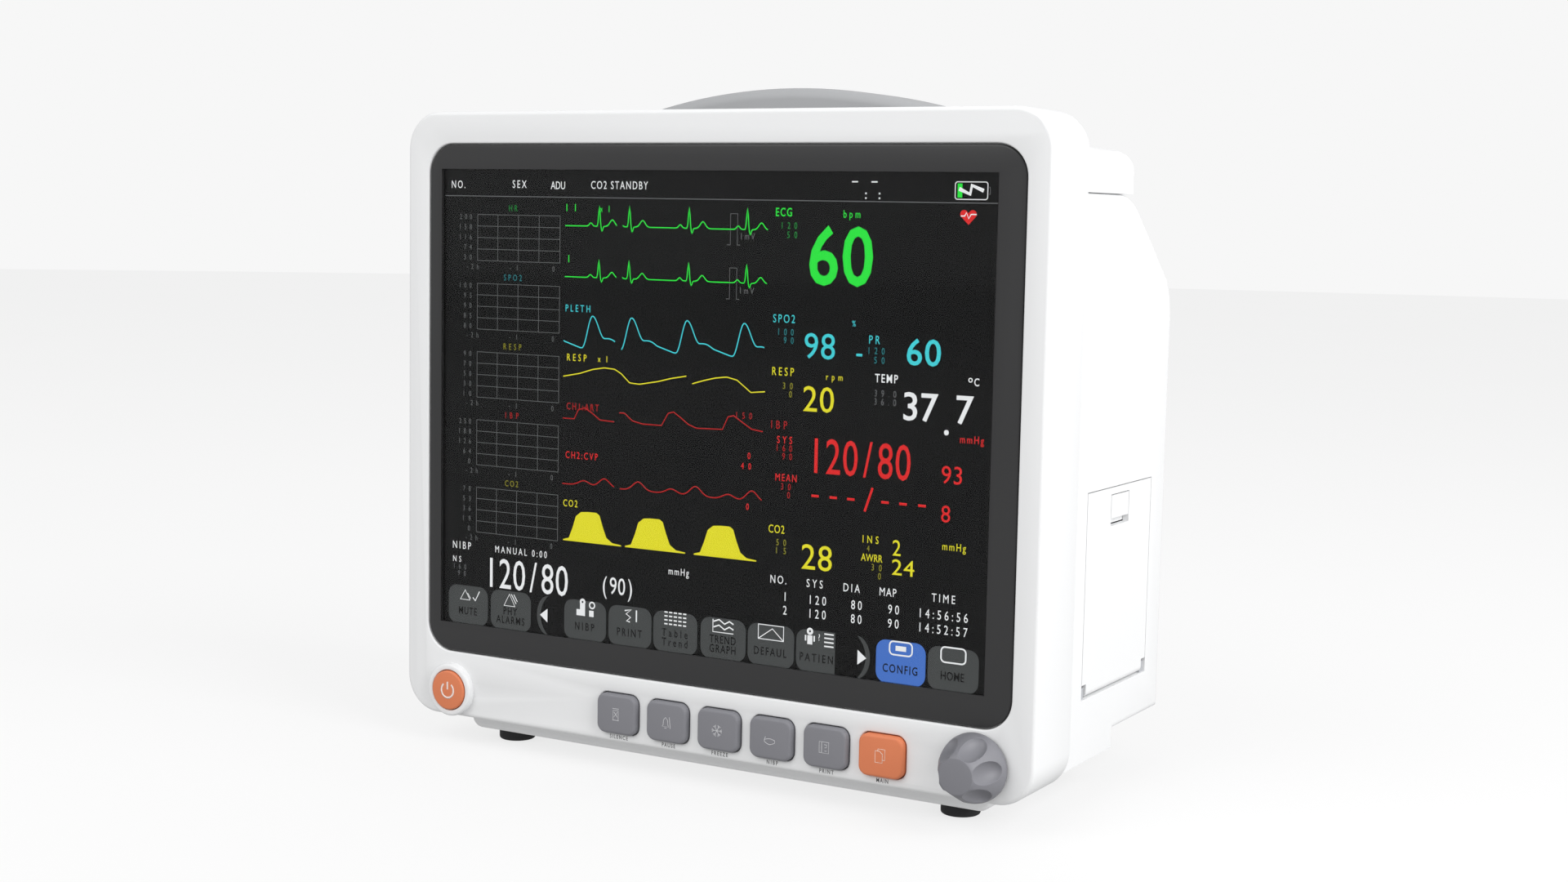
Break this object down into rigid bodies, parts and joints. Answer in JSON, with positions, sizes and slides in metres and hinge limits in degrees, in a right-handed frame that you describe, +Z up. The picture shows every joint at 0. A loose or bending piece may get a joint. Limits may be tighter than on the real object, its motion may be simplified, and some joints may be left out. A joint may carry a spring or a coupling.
{
  "type": "patient monitor",
  "caption": "Bedside patient monitor: rounded white case with a touch display, a row of press keys, a push-and-turn knob, a carry handle, a side recorder and a rear battery door.",
  "frame": {"origin": "on the floor plane, under the middle of the bounding box", "axes": "+Z up, -Y out of the screen towards the viewer, +X to the viewer's right"},
  "size_m": [0.285, 0.1694, 0.2714],
  "materials": {
    "housing_white": "satin moulded plastic, cool white",
    "handle_grey": "satin moulded plastic, mid grey",
    "key_grey": "satin moulded plastic, blue grey",
    "key_orange": "satin moulded plastic, soft orange",
    "knob_grey": "satin moulded plastic, blue grey",
    "touch_glass": "flat glossy cover glass with a black printed border",
    "display": "dark liquid crystal panel behind the glass",
    "foam_black": "closed-cell foam tape",
    "steel": "bright zinc plated steel",
    "aluminium": "plain aluminium",
    "brass": "plain machined brass",
    "board_green": "green circuit board lacquer",
    "part_black": "black moulded plastic",
    "foot_rubber": "black rubber",
    "panel_grey": "light grey moulded plastic",
    "socket_green": "green moulded plastic",
    "socket_blue": "blue moulded plastic",
    "socket_red": "red moulded plastic",
    "socket_yellow": "yellow moulded plastic",
    "socket_white": "white moulded plastic",
    "paper": "smooth thermal paper",
    "tube_clear": "milky silicone tube"
  },
  "bodies": {
    "housing": {"front_bezel": "housing_white", "touch_glass": "touch_glass", "glass_gasket": "foam_black", "lcd_panel": "display", "lcd_frame": "steel", "lcd_screws": "steel", "key_board": "board_green", "key_switches": "part_black", "power_ring": "housing_white", "encoder_body": "steel", "rear_housing": "housing_white", "top_cover": "housing_white", "carry_handle": "handle_grey", "handle_screws": "steel", "base_rail": "housing_white", "rubber_feet": "foot_rubber", "chassis": "steel", "housing_screws": "steel", "mounting_inserts": "brass", "recorder_frame": "panel_grey", "recorder_hinge_pin": "steel", "thermal_head": "aluminium", "battery_tray": "panel_grey", "battery_hinge_pin": "steel", "battery_pack": "part_black", "socket_panel": "panel_grey", "ecg_socket": "socket_green", "spo2_socket": "socket_blue", "ibp_sockets": "socket_red", "temp_sockets": "part_black", "nibp_port": "socket_white", "co2_port": "socket_yellow", "ac_inlet": "part_black", "lan_port": "steel", "ground_stud": "steel", "main_board": "board_green", "parameter_board": "board_green", "board_standoffs": "brass", "heat_sink": "aluminium", "board_connectors": "socket_white", "nibp_pump": "aluminium", "nibp_valves": "part_black", "air_tube": "tube_clear", "power_supply": "aluminium", "speaker": "part_black"},
    "silence_key": {"silence_key": "key_grey"},
    "pause_key": {"pause_key": "key_grey"},
    "freeze_key": {"freeze_key": "key_grey"},
    "nibp_key": {"nibp_key": "key_grey"},
    "print_key": {"print_key": "key_grey"},
    "main_key": {"main_key": "key_orange"},
    "power_button": {"power_button": "key_orange"},
    "encoder_plunger": {"encoder_plunger": "part_black"},
    "selector_knob": {"selector_knob": "knob_grey", "encoder_shaft": "steel"},
    "recorder_door": {"recorder_door": "housing_white"},
    "door_latch": {"door_latch": "housing_white"},
    "platen_roller": {"platen_roller": "foot_rubber"},
    "paper_roll": {"paper_roll": "paper"},
    "battery_door": {"battery_door": "housing_white"}
  },
  "joints": [
    {"name": "silence_key_press", "type": "slide", "parent": "housing", "child": "silence_key", "axis": [0, 1, 0], "range_m": [0, 0.0012], "stiffness_N_per_m": 900, "springref_m": -0.0008},
    {"name": "pause_key_press", "type": "slide", "parent": "housing", "child": "pause_key", "axis": [0, 1, 0], "range_m": [0, 0.0012], "stiffness_N_per_m": 900, "springref_m": -0.0008},
    {"name": "freeze_key_press", "type": "slide", "parent": "housing", "child": "freeze_key", "axis": [0, 1, 0], "range_m": [0, 0.0012], "stiffness_N_per_m": 900, "springref_m": -0.0008},
    {"name": "nibp_key_press", "type": "slide", "parent": "housing", "child": "nibp_key", "axis": [0, 1, 0], "range_m": [0, 0.0012], "stiffness_N_per_m": 900, "springref_m": -0.0008},
    {"name": "print_key_press", "type": "slide", "parent": "housing", "child": "print_key", "axis": [0, 1, 0], "range_m": [0, 0.0012], "stiffness_N_per_m": 900, "springref_m": -0.0008},
    {"name": "main_key_press", "type": "slide", "parent": "housing", "child": "main_key", "axis": [0, 1, 0], "range_m": [0, 0.0012], "stiffness_N_per_m": 900, "springref_m": -0.0008},
    {"name": "power_button_press", "type": "slide", "parent": "housing", "child": "power_button", "axis": [0, 1, 0], "range_m": [0, 0.0012], "stiffness_N_per_m": 900, "springref_m": -0.0008},
    {"name": "knob_push", "type": "slide", "parent": "housing", "child": "encoder_plunger", "axis": [0, 1, 0], "range_m": [0, 0.0006], "stiffness_N_per_m": 3000, "springref_m": -0.0006},
    {"name": "knob_turn", "type": "hinge", "parent": "encoder_plunger", "child": "selector_knob", "pos_m": [0.1197, -0.06775, 0.025], "axis": [0, -1, 0], "continuous": true},
    {"name": "recorder_door_hinge", "type": "hinge", "parent": "housing", "child": "recorder_door", "pos_m": [0.1321, 0.02675, 0.0423], "axis": [0, 1, 0], "range_deg": [0, 80]},
    {"name": "door_latch_slide", "type": "slide", "parent": "recorder_door", "child": "door_latch", "axis": [0, 0, -1], "range_m": [0, 0.0025], "stiffness_N_per_m": 400, "springref_m": -0.001},
    {"name": "platen_spin", "type": "hinge", "parent": "recorder_door", "child": "platen_roller", "pos_m": [0.1235, 0.02675, 0.102], "axis": [0, 1, 0], "continuous": true},
    {"name": "paper_roll_spin", "type": "hinge", "parent": "housing", "child": "paper_roll", "pos_m": [0.1125, 0.02675, 0.057], "axis": [0, 1, 0], "continuous": true},
    {"name": "battery_door_hinge", "type": "hinge", "parent": "housing", "child": "battery_door", "pos_m": [-0.093, 0.07435, 0.0588], "axis": [-1, 0, 0], "range_deg": [0, 85]}
  ],
  "couplings": [
    {"joint": "platen_spin", "follows": "paper_roll_spin", "ratio": 3.4}
  ]
}
